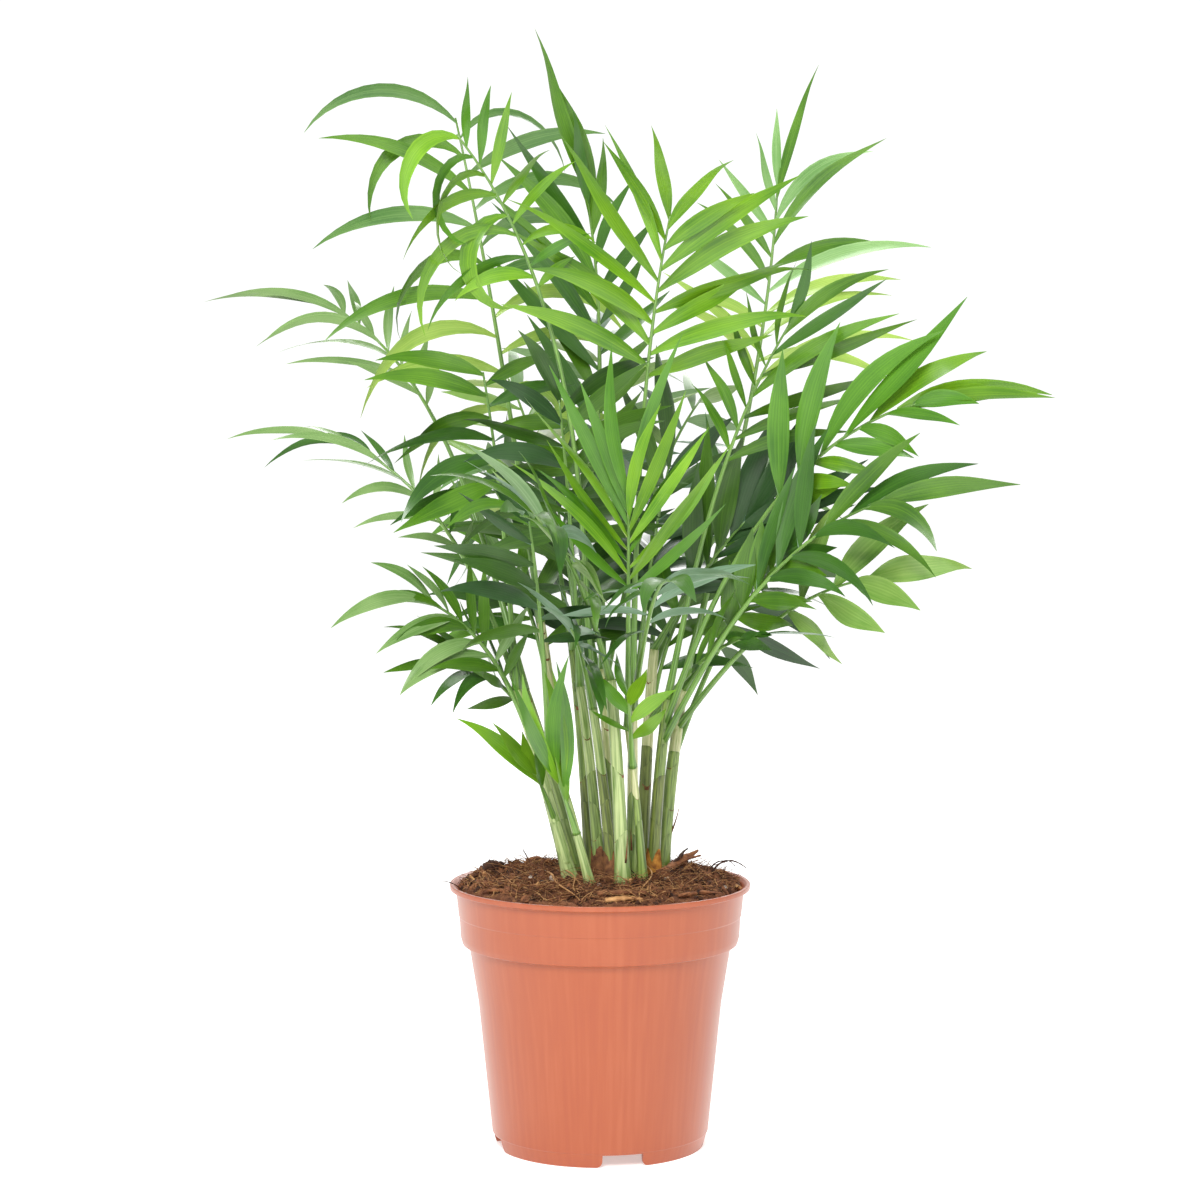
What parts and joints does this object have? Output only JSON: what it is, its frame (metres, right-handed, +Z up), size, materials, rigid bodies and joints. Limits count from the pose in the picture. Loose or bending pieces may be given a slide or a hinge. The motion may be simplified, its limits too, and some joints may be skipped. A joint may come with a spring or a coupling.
{
  "type": "potted parlour palm",
  "caption": "Young clumping parlour palm with slender canes and arching feathery fronds, in a round tapered nursery pot full of fibrous compost.",
  "frame": {"origin": "on the axis of the pot, at the level on which the pot stands", "axes": "+Z up along the pot's axis and the palm's height; the front of the plant faces -Y, with +X to its right"},
  "size_m": [0.3445, 0.2911, 0.4442],
  "materials": {
    "pot": "satin moulded polypropylene, terracotta colour",
    "compost": "loose, matt and fibrous",
    "cane": "smooth and satin, with ring scars and dry sheath marks",
    "fresh_leaf": "satin",
    "mature_leaf": "satin",
    "deep_leaf": "satin",
    "pale_leaf": "satin, thin enough to glow against the light"
  },
  "bodies": {
    "root": {"pot": "pot", "compost": "compost", "cane_1": "cane", "cane_2": "cane", "cane_3": "cane", "cane_4": "cane", "cane_5": "cane", "cane_6": "cane", "cane_7": "cane", "cane_8": "cane", "cane_9": "cane", "cane_10": "cane", "cane_11": "cane", "cane_12": "cane", "cane_13": "cane", "cane_14": "cane", "frond_1": "pale_leaf", "frond_2": "fresh_leaf", "frond_3": "mature_leaf", "frond_4": "fresh_leaf", "frond_5": "fresh_leaf", "frond_6": "pale_leaf", "frond_7": "mature_leaf", "frond_8": "mature_leaf", "frond_9": "mature_leaf", "frond_10": "mature_leaf", "frond_11": "fresh_leaf", "frond_12": "mature_leaf", "frond_13": "fresh_leaf", "frond_14": "mature_leaf", "frond_15": "mature_leaf", "frond_16": "mature_leaf", "frond_17": "deep_leaf", "frond_18": "deep_leaf", "frond_19": "deep_leaf", "frond_20": "mature_leaf", "frond_21": "mature_leaf", "frond_22": "fresh_leaf", "frond_23": "fresh_leaf", "frond_24": "mature_leaf", "frond_25": "fresh_leaf", "frond_26": "mature_leaf", "frond_27": "mature_leaf", "frond_28": "fresh_leaf", "frond_29": "mature_leaf", "frond_30": "mature_leaf", "frond_31": "mature_leaf", "frond_32": "deep_leaf", "frond_33": "deep_leaf", "frond_34": "deep_leaf", "frond_35": "deep_leaf", "frond_36": "deep_leaf", "frond_37": "deep_leaf", "frond_38": "mature_leaf", "frond_39": "mature_leaf"}
  },
  "joints": []
}
